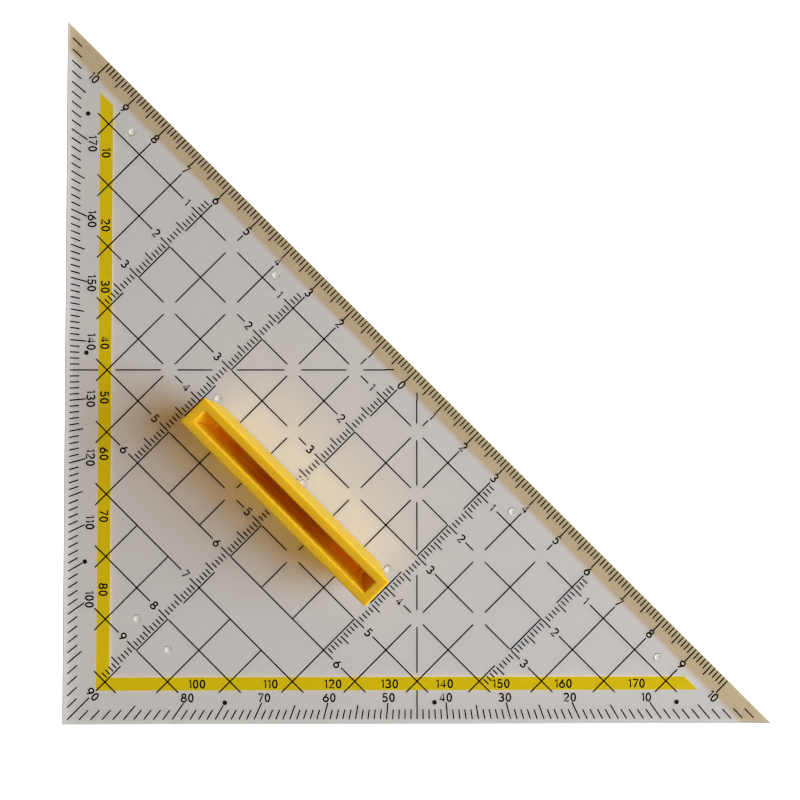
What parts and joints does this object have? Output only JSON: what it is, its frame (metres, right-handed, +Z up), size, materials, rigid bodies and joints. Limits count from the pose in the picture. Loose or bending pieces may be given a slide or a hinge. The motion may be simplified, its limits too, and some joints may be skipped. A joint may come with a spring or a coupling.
{
  "type": "geometry set square",
  "caption": "Clear triangular set square with a bevelled millimetre edge, a printed protractor and square grid, and a pull-off bar handle, for drawing lines and angles.",
  "frame": {"origin": "zero mark of the ruling edge, on the surface that the square lies on", "axes": "+X along the ruling edge towards its right tip, +Y square to the ruling edge and away from the sheet, +Z up through the sheet towards the handle"},
  "size_m": [0.226, 0.113, 0.0176],
  "materials": {
    "acrylic": "clear cast acrylic, polished faces, machined bevel",
    "handle_plastic": "opaque amber yellow moulded styrene, satin",
    "black_ink": "black reverse print on the underside",
    "yellow_ink": "yellow reverse print behind the black print"
  },
  "bodies": {
    "sheet": {"plate": "acrylic", "degree_stripe": "yellow_ink", "edge_scale": "black_ink", "degree_scale": "black_ink", "angle_dots": "black_ink", "square_grid": "black_ink", "height_scales": "black_ink", "half_right_lines": "black_ink"},
    "grip": {"handle": "handle_plastic"}
  },
  "joints": [
    {"name": "handle_lift", "type": "slide", "parent": "sheet", "child": "grip", "axis": [0, 0, 1], "range_m": [0, 0.03]}
  ]
}
